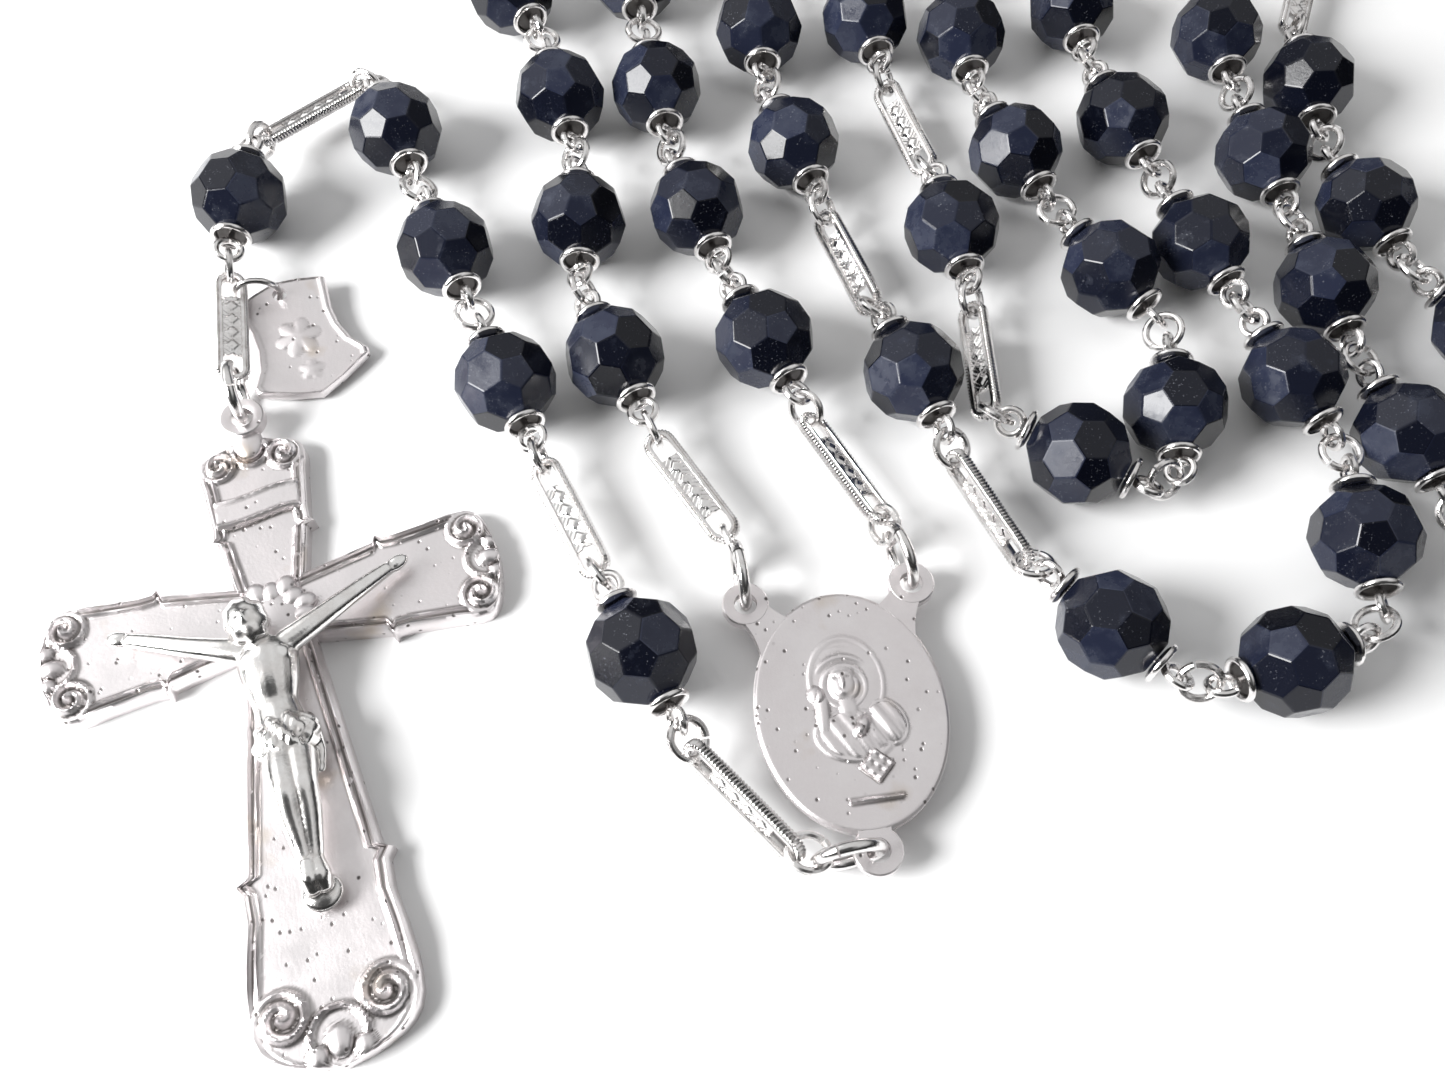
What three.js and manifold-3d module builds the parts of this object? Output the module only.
// A five-decade rosary laid out on a table: a loop of faceted glass beads on wire pins,
// engraved links between the decades, a centre medal, and a pendant with a crucifix and a tag.
// Millimetres, +Z up. The table is z = 0. The origin is on the back of the crucifix where its
// two arms cross.
import * as THREE from "three";
import { ConvexGeometry } from "three/addons/geometries/ConvexGeometry.js";
import { mergeVertices } from "three/addons/utils/BufferGeometryUtils.js";
import Module from "manifold-3d";

// ---- driving dimensions ----
const beadDiameter = 8; // across opposite corners of the facets
const boreDiameter = 1.2;
const wireDiameter = 0.6; // pins, eyes and connecting rings
const eyeRadius = 1.0; // centre line of the eye bent at each end of a pin
const ringRadius = 1.4; // centre line of the ring that joins two eyes
const capDiameter = 3.1; // the dished cap at each end of a bead
const capHeight = 0.55;
const clearance = 0.3; // between pieces that touch on the real object
const eyePlay = 0.25; // between the wires of an eye and its ring
const linkLength = 11.1; // engraved link, over its round ends
const linkWidth = 2.6;
const linkThickness = 0.9;
const linkRim = 0.6; // width of the milled band round a link
const linkEndPlay = 0.35; // between a link's end and the ring through it
const linkOpening = 2.0; // along the link, at each end
const linkDrop = 1.2; // a link's axis lies this far below the bores of the beads
const jumpRadius = 2.25; // centre line of the large jump rings
const jumpWire = 0.9;
const jumpPlay = 0.2; // between the wires of a jump ring and the ring in it
const plateLift = 1.45; // medal, crucifix eye and tag stand over the wire of their jump rings
const lugThickness = 0.9;
const lugRadius = 1.7;
const lugHole = 0.85; // radius
const lugNeck = 1.0; // half width of the neck that carries a lug
const medalWidth = 13.6;
const medalHeight = 17.7;
const medalTurn = 8; // degrees, anticlockwise
const lugReach = 6.15; // upper lugs: holes this far from the medal's centre line ...
const lugRise = 8.95; // ... and this far above its centre
const bottomLugDrop = 10.0;
const crossTop = 15.2; // from the crossing of the arms to the top of the crucifix
const crossFoot = 32.3;
const crossHalfSpan = 16.8;
const crossWaist = 2.2; // half width where the arms meet
const topFlare = 4.1; // half width of each arm over its scrolls
const sideFlare = 4.6;
const footFlare = 5.6;
const topCusp = 0.45; // where the outline steps out, as a share of the arm's length
const sideCusp = 0.48;
const footCusp = 0.6;
const shellHalf = 1.1; // half width of the small shell at an arm's end
const crossNeck = 1.2; // half width of the neck that carries the eye
const crossThickness = 1.8;
const crossEye = 16.9; // from the crossing to the eye's hole
const crossTurn = 16.5; // degrees, anticlockwise
const bannerRise = 0.7; // of the blank banner over the cross
const bannerFoot = 8.2; // from the crossing to the banner's lower edge
const bannerHeight = 2.2;
const bannerHalf = 3.0; // half width at its lower edge
const corpusHeight = 22;
const tagWidth = 9.8;
const tagHeight = 11.6;
const tagThickness = 0.7;
const tagTop = 1.2; // from its hole to its upper edge
const tagTurn = 26.6; // degrees, anticlockwise
const tagRingRadius = 1.8;
const tagRingWire = 0.5;
const tagHoleRadius = 0.6;
const crossingRise = 3.2; // over the bores, of a ring joint that passes over another strand
const looseLean = 55; // degrees that the free rings lean at most, one way and the other
const leanPhase = 2.4; // radians from one free ring's lean to the next

// ---- sizes that follow from them ----
const beadRadius = beadDiameter / 2;
const poleHeight = beadRadius * 0.9393; // centre to pentagon facet of a truncated icosahedron
const capSeat = poleHeight + clearance;
const eyeCentre = capSeat + capHeight + eyeRadius;
const beadBar = 2 * (eyeCentre + eyeRadius - wireDiameter - eyePlay);
const ringBar = 2 * ringRadius;
const linkHeight = beadRadius - linkDrop;
const crossingHeight = beadRadius + crossingRise;
const linkInner = linkLength / 2 - linkRim;
const linkBar = 2 * (linkInner - wireDiameter / 2 - linkEndPlay);
// The tag's ring lies midway in the space that the connecting ring leaves in its opening.
const tagRingSeat = (linkOpening + wireDiameter + linkEndPlay) / 2 - linkInner;
const jumpHeight = jumpRadius + jumpWire / 2;
const lugMiddle = plateLift + lugThickness / 2;
const jumpToHole = Math.sqrt(jumpRadius ** 2 - (jumpHeight - lugMiddle) ** 2);
const jumpToRing = jumpRadius - jumpWire / 2 - wireDiameter / 2 - jumpPlay;

// ---- materials ----
function paint(color, roughness, metalness) {
  return new THREE.MeshStandardMaterial({ color, roughness, metalness });
}

const glass = paint(0x10121c, 0.28, 0.0);
const brightSilver = paint(0xd9d6d2, 0.22, 1.0);
const satinSilver = paint(0xcfcac6, 0.42, 1.0);

// ---- solids ----
const wasm = await Module();
wasm.setup();

function toSolid(geometry, matrix = new THREE.Matrix4()) {
  const bare = new THREE.BufferGeometry();
  const source = geometry.index ? geometry.toNonIndexed() : geometry;
  bare.setAttribute("position", source.getAttribute("position").clone());
  bare.applyMatrix4(matrix);
  const merged = mergeVertices(bare, 1e-4);
  const vertProperties = merged.attributes.position.array;
  const triVerts = new Uint32Array(merged.index.array);
  const solid = new wasm.Manifold(new wasm.Mesh({ numProp: 3, vertProperties, triVerts }));
  if (solid.volume() > 0) return solid;
  // A profile run the other way, or a mirrored placement, turns the faces inwards.
  return new wasm.Manifold(new wasm.Mesh({ numProp: 3, vertProperties, triVerts: triVerts.reverse() }));
}

function toGeometry(solid) {
  const mesh = solid.getMesh();
  const geometry = new THREE.BufferGeometry();
  geometry.setAttribute("position", new THREE.BufferAttribute(new Float32Array(mesh.vertProperties), 3));
  geometry.setIndex(new THREE.BufferAttribute(new Uint32Array(mesh.triVerts), 1));
  geometry.computeVertexNormals();
  return geometry;
}

const join = (solids) => solids.reduce((sum, next) => sum.add(next));

// A turned solid with its axis along X; the profile is a list of [radius, x].
function turned(profile, sides) {
  const points = profile.map(([r, x]) => new THREE.Vector2(r, x));
  return new THREE.LatheGeometry(points, sides).rotateZ(-Math.PI / 2);
}

// A wire ring in the XY plane.
function wireRing(radius, wire, around, across) {
  return new THREE.TorusGeometry(radius, wire / 2, across, around);
}

// A flat plate of an outline, from z to z + thickness.
function plate(shape, thickness, z, curveSegments = 6) {
  const options = { depth: thickness, bevelEnabled: false, curveSegments };
  return new THREE.ExtrudeGeometry(shape, options).translate(0, 0, z);
}

function shapeOf(points) {
  return new THREE.Shape(points.map(([x, y]) => new THREE.Vector2(x, y)));
}

// ---- chain layout ----
const degrees = THREE.MathUtils.degToRad;

// Frame of a piece on the chain: x along it, y to its left, z up.
function chainFrame(from, to) {
  const x = to.clone().sub(from).normalize();
  const y = new THREE.Vector3(0, 0, 1).cross(x).normalize();
  const z = x.clone().cross(y);
  const middle = from.clone().add(to).multiplyScalar(0.5);
  return new THREE.Matrix4().makeBasis(x, y, z).setPosition(middle);
}

// Lays the pieces of one strand, each on its own heading in degrees anticlockwise from X. A unit is
// "bead" or "link". A ring comes before each unit, on the mean heading of its two neighbours. A link's
// roll turns its engraved face from flat, and the rings through it stand square to it.
function layStrand(start, units, headings, rolls, raised) {
  const stops = [start];
  const step = (length, heading, height) => {
    const from = stops.at(-1);
    const reach = Math.sqrt(length ** 2 - (height - from.z) ** 2);
    const turn = degrees(heading);
    stops.push(new THREE.Vector3(from.x + reach * Math.cos(turn), from.y + reach * Math.sin(turn), height));
  };
  units.forEach((unit, i) => {
    const level = unit === "bead" ? beadRadius : linkHeight;
    const heading = headings[i + 1];
    step(ringBar, (headings[i] + heading) / 2, raised.includes(i - 1) ? crossingHeight : level);
    step(unit === "bead" ? beadBar : linkBar, heading, raised.includes(i) ? crossingHeight : level);
  });
  let links = 0;
  const linkRolls = units.map((unit) => (unit === "link" ? rolls[links++] : null));
  const tilts = [...units, "end"].map((unit, i) => {
    const roll = linkRolls[i] ?? linkRolls[i - 1] ?? null;
    if (roll !== null) return degrees(90 - roll);
    return raised.includes(i - 1) ? 0 : degrees(looseLean * Math.sin(leanPhase * i));
  });
  return units.map((unit, i) => ({
    unit,
    start: stops[2 * i],
    ringEnd: stops[2 * i + 1],
    ring: chainFrame(stops[2 * i], stops[2 * i + 1]),
    ringTilt: tilts[i],
    nextTilt: tilts[i + 1],
    body: chainFrame(stops[2 * i + 1], stops[2 * i + 2]),
    roll: degrees(linkRolls[i] ?? 0),
    end: stops[2 * i + 2],
  }));
}

const turnX = (angle) => new THREE.Matrix4().makeRotationX(angle);
const moveX = (distance) => new THREE.Matrix4().makeTranslation(distance, 0, 0);

// ---- beads ----
// A truncated icosahedron with pentagons on the ends of its bore: 12 pentagons, 20 hexagons.
function facetedBead() {
  const corners = [new THREE.Vector3(1, 0, 0), new THREE.Vector3(-1, 0, 0)];
  const latitude = 1 / Math.sqrt(5);
  for (let k = 0; k < 5; k += 1) {
    for (const side of [1, -1]) {
      const turn = (2 * Math.PI * (k + (side < 0 ? 0.5 : 0))) / 5;
      const away = 2 * latitude;
      corners.push(new THREE.Vector3(side * latitude, away * Math.cos(turn), away * Math.sin(turn)));
    }
  }
  const cuts = [];
  for (const a of corners) {
    for (const b of corners) {
      const edge = a.distanceTo(b);
      if (edge > 0.1 && edge < 1.2) cuts.push(a.clone().lerp(b, 1 / 3).setLength(beadRadius));
    }
  }
  const ball = toSolid(new ConvexGeometry(cuts));
  const bore = toSolid(turned([[0, -beadDiameter], [boreDiameter / 2, -beadDiameter],
    [boreDiameter / 2, beadDiameter], [0, beadDiameter]], 6));
  return toGeometry(ball.subtract(bore));
}

// Dished cap on one end of a bead, seen along +X.
function capProfile(side) {
  const inner = side * capSeat;
  const outer = side * (capSeat + capHeight);
  const floor = side * (capSeat + capHeight / 2);
  const profile = [[0, inner], [capDiameter / 2, inner], [capDiameter / 2, outer], [capDiameter / 3, outer],
    [wireDiameter, floor], [0, floor]];
  return side > 0 ? profile : profile.reverse();
}

// An eye in the plane of X and the direction turned by tilt from Z towards Y.
function eye(side, tilt, around, across, body = new THREE.Matrix4()) {
  const ring = wireRing(eyeRadius, wireDiameter, around, across);
  const place = turnX(Math.PI / 2 - tilt).premultiply(moveX(side * eyeCentre)).premultiply(body);
  return toSolid(ring, place);
}

// The wire through a bead with a cap and an eye at each end.
function pinWithCaps(startTilt, endTilt) {
  const reach = eyeCentre - eyeRadius;
  const shaft = turned([[0, -reach], [wireDiameter / 2, -reach], [wireDiameter / 2, reach], [0, reach]], 6);
  const caps = [1, -1].map((side) => toSolid(turned(capProfile(side), 7)));
  const eyes = [eye(-1, startTilt, 8, 4), eye(1, endTilt, 8, 4)];
  return toGeometry(join([toSolid(shaft), ...caps, ...eyes]));
}

// A wire ring drawn out along the line between two points: two half rings joined by straight wire.
function longRing(from, to, tilt, around, across) {
  const ring = wireRing(ringRadius, wireDiameter, around, across);
  const position = ring.getAttribute("position");
  const shift = from.distanceTo(to) / 2 - ringRadius;
  for (let i = 0; i < position.count; i += 1) {
    position.setX(i, position.getX(i) + Math.sign(position.getX(i)) * shift);
  }
  return toSolid(ring, chainFrame(from, to).multiply(turnX(-tilt)));
}

function capFace(piece, side) {
  return new THREE.Vector3(side * (capSeat + capHeight / 2), 0, 0).applyMatrix4(piece.body);
}

// A run of beads whose bores, caps, eyes and rings are joined into one body. It ends in a ring
// where another piece follows, and in an eye where it hooks into the ring of the run before it.
function beadRun(strand, startsInEye, following) {
  const capEnd = capSeat + capHeight;
  const shoulder = 0.82 * beadRadius;
  const waist = 0.57 * beadRadius;
  const capRadius = capDiameter / 2;
  const profile = [[0, -capEnd], [capRadius, -capEnd], [shoulder, -waist], [beadRadius, 0], [shoulder, waist],
    [capRadius, capEnd], [0, capEnd]];
  const bead = turned(profile, 8);
  const pieces = strand.map((piece) => toSolid(bead, piece.body));
  strand.slice(1).forEach((piece, i) => {
    pieces.push(longRing(capFace(strand[i], 1), capFace(piece, -1), piece.ringTilt, 6, 4));
  });
  const first = strand[0];
  const last = strand.at(-1);
  if (startsInEye) pieces.push(eye(-1, first.ringTilt, 8, 4, first.body));
  else pieces.push(longRing(first.start, capFace(first, -1), first.ringTilt, 8, 4));
  if (following) pieces.push(longRing(capFace(last, 1), following.ringEnd, last.nextTilt, 8, 4));
  else pieces.push(eye(1, last.nextTilt, 8, 4, last.body));
  return toGeometry(join(pieces));
}

// ---- links ----
// A bar with round ends and a D-shaped opening at each end for the ring that passes through.
function engravedLink() {
  const half = linkLength / 2;
  const round = linkWidth / 2;
  const outline = new THREE.Shape();
  outline.absarc(half - round, 0, round, -Math.PI / 2, Math.PI / 2, false);
  outline.absarc(round - half, 0, round, Math.PI / 2, (3 * Math.PI) / 2, false);
  const opening = new THREE.Shape();
  const width = round - linkRim;
  opening.absarc(linkInner - width, 0, width, -Math.PI / 2, Math.PI / 2, false);
  opening.lineTo(linkInner - linkOpening, width);
  opening.lineTo(linkInner - linkOpening, -width);
  const hole = toSolid(plate(opening, 2 * linkThickness, -linkThickness, 4));
  const bar = toSolid(plate(outline, linkThickness, -linkThickness / 2, 4));
  return toGeometry(bar.subtract(hole).subtract(hole.rotate([0, 0, 180])));
}

// ---- centre medal ----
// An oval plate with two upper lugs and one below, each drilled for a jump ring, and a low
// relief of a veiled figure.
const lugPlaces = { left: [-lugReach, lugRise], right: [lugReach, lugRise], bottom: [0, -bottomLugDrop] };

function disc(radius, x, y, thickness, z, sides) {
  const shape = new THREE.Shape().absarc(x, y, radius, 0, 2 * Math.PI, false);
  return plate(shape, thickness, z, sides / 2);
}

function drilled(body, holes) {
  const depth = 2 * (plateLift + lugThickness);
  return holes.reduce((solid, [x, y]) => solid.subtract(toSolid(disc(lugHole, x, y, depth, 0, 10))), body);
}

function medalPlate() {
  const oval = new THREE.Shape().absellipse(0, 0, medalWidth / 2, medalHeight / 2, 0, 2 * Math.PI, false);
  const pieces = [toSolid(plate(oval, lugThickness, plateLift, 14))];
  for (const [x, y] of Object.values(lugPlaces)) {
    pieces.push(toSolid(disc(lugRadius, x, y, lugThickness, plateLift, 12)));
    const length = Math.hypot(x, y) - lugHole;
    const root = 1.3 * lugNeck;
    const outline = shapeOf([[0, -root], [length, -lugNeck], [length, lugNeck], [0, root]]);
    const turn = new THREE.Matrix4().makeRotationZ(Math.atan2(y, x));
    pieces.push(toSolid(plate(outline, lugThickness, plateLift), turn));
  }
  return drilled(join(pieces), Object.values(lugPlaces));
}

// Ellipsoids flattened to a relief: [x, y, half width, half height, rise] over the plate.
function relief(lumps, base, sides) {
  return lumps.map(([x, y, halfWidth, halfHeight, rise]) => {
    const matrix = new THREE.Matrix4().makeScale(halfWidth, halfHeight, rise).setPosition(x, y, base);
    return toSolid(new THREE.SphereGeometry(1, sides, 4).rotateX(Math.PI / 2), matrix);
  });
}

function centreMedal() {
  const top = plateLift + lugThickness;
  const veil = [0, 2.6, 2.3, 3.0, 0.45];
  const head = [-0.2, 2.4, 1.4, 1.9, 0.75];
  const shoulders = [0.1, -2.4, 3.9, 2.4, 0.5];
  const hands = [0.6, -3.6, 1.1, 1.6, 0.7];
  return toGeometry(join([medalPlate(), ...relief([veil, head, shoulders, hands], top, 10)]));
}

// ---- crucifix ----
// One half of the outline of an arm that points along +Y: [half width, distance from the crossing].
// It flares from the waist, steps out at a cusp and ends in a scroll and a small shell.
function armOutline(length, flare, cusp) {
  const step = length * cusp;
  return [[crossWaist, 1.1 * crossWaist], [flare * 0.82, step], [flare * 0.96, step + 0.02 * length],
    [flare * 0.88, step + 0.09 * length], [flare, length * 0.86], [flare * 0.62, length * 0.93],
    [shellHalf, length * 0.95], [0.65 * shellHalf, length]];
}

function crossShape() {
  const arms = [
    { turn: 0, half: armOutline(crossTop, topFlare, topCusp) },
    { turn: -Math.PI / 2, half: armOutline(crossHalfSpan, sideFlare, sideCusp) },
    { turn: Math.PI, half: armOutline(crossFoot, footFlare, footCusp) },
    { turn: Math.PI / 2, half: armOutline(crossHalfSpan, sideFlare, sideCusp) },
  ];
  const points = arms.flatMap(({ turn, half }) => {
    const rightSide = [...half].reverse();
    const whole = [...half.map(([x, y]) => [-x, y]), ...rightSide];
    return whole.map(([x, y]) => new THREE.Vector2(x, y).rotateAround(new THREE.Vector2(), turn));
  });
  return new THREE.Shape(points);
}

function crucifixCross() {
  const neckFoot = crossEye - 3.9;
  const neckTop = crossEye - 1.0;
  const neck = shapeOf([[-crossNeck, neckFoot], [crossNeck, neckFoot], [crossNeck, neckTop],
    [-crossNeck, neckTop]]);
  const bannerTop = bannerFoot + bannerHeight;
  const banner = shapeOf([[-bannerHalf, bannerFoot], [bannerHalf, bannerFoot], [1.13 * bannerHalf, bannerTop],
    [-1.13 * bannerHalf, bannerTop]]);
  const solid = join([toSolid(plate(crossShape(), crossThickness, 0)),
    toSolid(disc(lugRadius, 0, crossEye, lugThickness, plateLift, 12)),
    toSolid(plate(neck, lugThickness, plateLift)),
    toSolid(plate(banner, bannerRise + crossThickness, 0))]);
  return toGeometry(drilled(solid, [[0, crossEye]]));
}

// The cast figure, in outline only: limbs as tapered rods between joints, trunk and head as ovals.
function limb(from, to, startRadius, endRadius) {
  const a = new THREE.Vector3(...from);
  const b = new THREE.Vector3(...to);
  const rod = new THREE.CylinderGeometry(endRadius, startRadius, a.distanceTo(b), 6);
  const along = b.clone().sub(a).normalize();
  const turn = new THREE.Quaternion().setFromUnitVectors(new THREE.Vector3(0, 1, 0), along);
  const place = new THREE.Matrix4().makeRotationFromQuaternion(turn).setPosition(a.lerp(b, 0.5));
  return toSolid(rod, place);
}

function corpus() {
  const base = crossThickness + clearance;
  const unit = corpusHeight / 22;
  const at = (x, y, z) => [x * unit, y * unit, base + z * unit];
  const oval = (x, y, z, rx, ry, rz) => {
    const matrix = new THREE.Matrix4().makeScale(rx * unit, ry * unit, rz * unit).setPosition(...at(x, y, z));
    return toSolid(new THREE.SphereGeometry(1, 8, 6), matrix);
  };
  return toGeometry(join([
    oval(-1.3, -1.7, 2.3, 1.4, 1.7, 1.5),
    oval(-0.4, -6.0, 1.6, 2.2, 3.4, 1.5),
    oval(-0.1, -10.5, 1.6, 2.2, 2.7, 1.5),
    limb(at(-1.4, -3.9, 1.9), at(-10.8, 0.5, 1.0), 0.85, 0.6),
    limb(at(0.9, -3.9, 1.9), at(9.4, 0.9, 1.0), 0.85, 0.6),
    limb(at(0.0, -11.6, 2.0), at(0.1, -15.1, 2.4), 1.8, 1.2),
    limb(at(0.1, -14.8, 2.4), at(0.3, -19.6, 1.2), 1.25, 0.8),
    oval(0.4, -20.9, 1.0, 1.1, 1.6, 0.9),
  ]));
}

// ---- tag ----
// A small shield with hollow sides, hung from its upper edge by a wire ring. Its hole is at x = y = 0.
function shieldTag() {
  const half = tagWidth / 2;
  const foot = tagTop - tagHeight;
  const corner = 0.3;
  const shape = new THREE.Shape();
  shape.moveTo(0, tagTop);
  shape.lineTo(-0.78 * half, corner);
  shape.quadraticCurveTo(-0.62 * half, 0.45 * foot, -half, 0.78 * foot);
  shape.lineTo(0, foot);
  shape.lineTo(half, 0.78 * foot);
  shape.quadraticCurveTo(0.62 * half, 0.45 * foot, 0.78 * half, corner);
  const body = toSolid(plate(shape, tagThickness, -tagThickness / 2));
  return toGeometry(body.subtract(toSolid(disc(tagHoleRadius, 0, 0, 2 * tagThickness, -tagThickness, 10))));
}

// ---- strands ----
// The heading of the jump ring and then of each piece, from the centre medal outwards.
const leftHeadings = [
  100, 124, 115, 94, 105, 118, 88, 20, -41, -86, -86, -71, -69, -69, -63, -44, 18, 90, 111, 110, 107,
  95, 83, 55, -4, -67, -106, -110, -92, -72, -51, -61, -127,
];
const rightHeadings = [
  110, 121, 116, 109, 101, 98, 95, 64, -17, -82, -93, -79, -72, -80, -88, -30, 85, 122, 112, 97, 90,
  98, 86, 20, -55, -85, -86, -89, -86, -81, -80, -73, -54,
];
const pendantHeadings = [192, 134, 117, 117, 115, 114, 112, 220, 270, 281];
// How far each link is rolled from flat, in degrees, from the medal outwards.
const leftRolls = [-10, 50, 75, 0, -10];
const rightRolls = [30, 40, 45, -10, 10];
const pendantRolls = [-70, -20, 20, -20];
// The pieces of the left strand that end at a crossing over another strand.
const leftRaised = [6, 22];
const runLength = 5;
const beads = (count) => Array(count).fill("bead");
const decade = beads(2 * runLength);
const ourFather = ["link", "bead", "link"];
const loopUnits = ["link", ...decade, ...ourFather, ...decade, ...ourFather, ...beads(runLength)];
const pendantUnits = [...ourFather, ...beads(3), ...ourFather];

// ---- assembly ----
const group = new THREE.Group();
const layout = new THREE.Group();
group.add(layout);

function addPiece(name, geometry, material, placement = new THREE.Matrix4()) {
  const mesh = new THREE.Mesh(geometry, material);
  mesh.name = name;
  placement.decompose(mesh.position, mesh.quaternion, mesh.scale);
  layout.add(mesh);
}

const medalPlacement = new THREE.Matrix4().makeRotationZ(degrees(medalTurn));
const lugPoint = ([x, y]) => new THREE.Vector3(x, y, 0).applyMatrix4(medalPlacement);

// A standing jump ring through a flat hole: its place, its far wire, and the point inside that
// wire where the next ring rests.
function hangJumpRing(hole, heading) {
  const direction = new THREE.Vector3(Math.cos(degrees(heading)), Math.sin(degrees(heading)), 0);
  const centre = hole.clone().addScaledVector(direction, jumpToHole).setZ(jumpHeight);
  const frame = chainFrame(centre.clone().sub(direction), centre.clone().add(direction));
  return {
    place: frame.multiply(turnX(Math.PI / 2)),
    farWire: centre.clone().addScaledVector(direction, jumpRadius),
    grip: centre.clone().addScaledVector(direction, jumpToRing),
  };
}

const jumpRing = () => wireRing(jumpRadius, jumpWire, 12, 6);
const connectingRing = () => wireRing(ringRadius, wireDiameter, 10, 4);
const ringPlace = (piece) => piece.ring.clone().multiply(turnX(-piece.ringTilt));
const linkPlace = (piece) => piece.body.clone().multiply(turnX(piece.roll));

addPiece("centre_medal", centreMedal(), satinSilver, medalPlacement);

// Pendant: single rings, links and beads from the medal's lower lug to the crucifix.
const pendantNames = ["pendant_1", "pendant_our_father", "pendant_2", "hail_mary_1", "hail_mary_2",
  "hail_mary_3", "pendant_3", "lower_our_father", "pendant_4"];
const bottomJump = hangJumpRing(lugPoint(lugPlaces.bottom), pendantHeadings[0]);
addPiece("bottom_jump_ring", jumpRing(), brightSilver, bottomJump.place);
const pendant = layStrand(bottomJump.grip, pendantUnits, pendantHeadings, pendantRolls, []);
pendant.forEach((piece, i) => {
  const name = pendantNames[i];
  addPiece(name + "_ring", connectingRing(), brightSilver, ringPlace(piece));
  if (piece.unit === "link") {
    addPiece(name + "_link", engravedLink(), brightSilver, linkPlace(piece));
    return;
  }
  addPiece(name + "_bead", facetedBead(), glass, piece.body);
  addPiece(name + "_pin", pinWithCaps(piece.ringTilt, piece.nextTilt), brightSilver, piece.body);
});

// Crucifix: it lies straight down from the last link, on a standing jump ring.
const crossDown = new THREE.Vector3(Math.sin(degrees(crossTurn)), -Math.cos(degrees(crossTurn)), 0);
const lastGrip = pendant.at(-1).end.clone().addScaledVector(crossDown, (wireDiameter - jumpWire) / 2);
const crossJumpCentre = lastGrip.clone().addScaledVector(crossDown, jumpRadius).setZ(jumpHeight);
const crossEyePoint = crossJumpCentre.clone().addScaledVector(crossDown, jumpToHole).setZ(0);
const crossing = crossEyePoint.clone().addScaledVector(crossDown, crossEye);
const crossJumpFrame = chainFrame(lastGrip.clone().setZ(0), crossEyePoint).setPosition(crossJumpCentre);
addPiece("crucifix_jump_ring", jumpRing(), brightSilver, crossJumpFrame.multiply(turnX(Math.PI / 2)));
const crossPlacement = new THREE.Matrix4().makeRotationZ(degrees(crossTurn)).setPosition(crossing);
addPiece("crucifix_cross", crucifixCross(), satinSilver, crossPlacement);
addPiece("corpus", corpus(), brightSilver, crossPlacement);
layout.position.copy(crossing).negate();

// Tag: its ring passes through the upper opening of the last link, beside the ring already in it.
const tagLink = linkPlace(pendant.at(-1));
const tagRingSide = tagRingWire / 2 + tagRingRadius;
const tagRingPlace = tagLink.clone();
tagRingPlace.multiply(new THREE.Matrix4().makeTranslation(tagRingSeat, tagRingSide, 0));
tagRingPlace.multiply(new THREE.Matrix4().makeRotationY(Math.PI / 2));
addPiece("tag_ring", wireRing(tagRingRadius, tagRingWire, 12, 4), brightSilver, tagRingPlace);
const tagHole = new THREE.Vector3(tagRingSeat, tagRingSide + tagRingRadius, 0).applyMatrix4(tagLink);
const tagSlope = Math.asin((tagHole.z - tagThickness) / (tagHeight - tagTop));
const tagPlacement = new THREE.Matrix4().makeRotationZ(degrees(tagTurn)).multiply(turnX(tagSlope));
tagPlacement.setPosition(tagHole);
addPiece("tag", shieldTag(), satinSilver, tagPlacement);

// Loop: two strands from the medal's upper lugs, in runs of five beads between the links. The two
// last runs are halves of one decade. Their end eyes lie side by side, and the ring that joins
// them on the real rosary is left out, because a chain of joints can't close on itself.
function addOurFather(name, piece, following) {
  const pin = toSolid(pinWithCaps(piece.ringTilt, piece.nextTilt), piece.body);
  const before = longRing(piece.start, capFace(piece, -1), piece.ringTilt, 10, 4);
  const after = longRing(capFace(piece, 1), following.ringEnd, piece.nextTilt, 10, 4);
  addPiece(name + "_bead", facetedBead(), glass, piece.body);
  addPiece(name + "_pin", toGeometry(join([pin, before, after])), brightSilver);
}

function addStrand(side, headings, rolls, raised) {
  const jump = hangJumpRing(lugPoint(lugPlaces[side]), headings[0]);
  const strand = layStrand(jump.grip, loopUnits, headings, rolls, raised);
  const first = strand[0];
  const firstRing = longRing(jump.farWire, first.ringEnd, first.ringTilt, 10, 4);
  addPiece(side + "_jump_ring", toGeometry(join([toSolid(jumpRing(), jump.place), firstRing])), brightSilver);
  const counts = { link: 0, our_father: 0, hail_marys: 0 };
  const numbered = (kind) => {
    counts[kind] += 1;
    return `${side}_${kind}_${counts[kind]}`;
  };
  for (let i = 0; i < strand.length; i += 1) {
    const piece = strand[i];
    if (piece.unit === "link") {
      addPiece(numbered("link"), engravedLink(), brightSilver, linkPlace(piece));
    } else if (strand[i + 1]?.unit === "link") {
      addOurFather(numbered("our_father"), piece, strand[i + 1]);
    } else {
      const run = strand.slice(i, i + runLength);
      const following = strand[i + runLength];
      const startsInEye = strand[i - 1].unit === "bead";
      addPiece(numbered("hail_marys"), beadRun(run, startsInEye, following), glass);
      i += runLength - 1;
    }
  }
}

addStrand("left", leftHeadings, leftRolls, leftRaised);
addStrand("right", rightHeadings, rightRolls, []);

export default group;
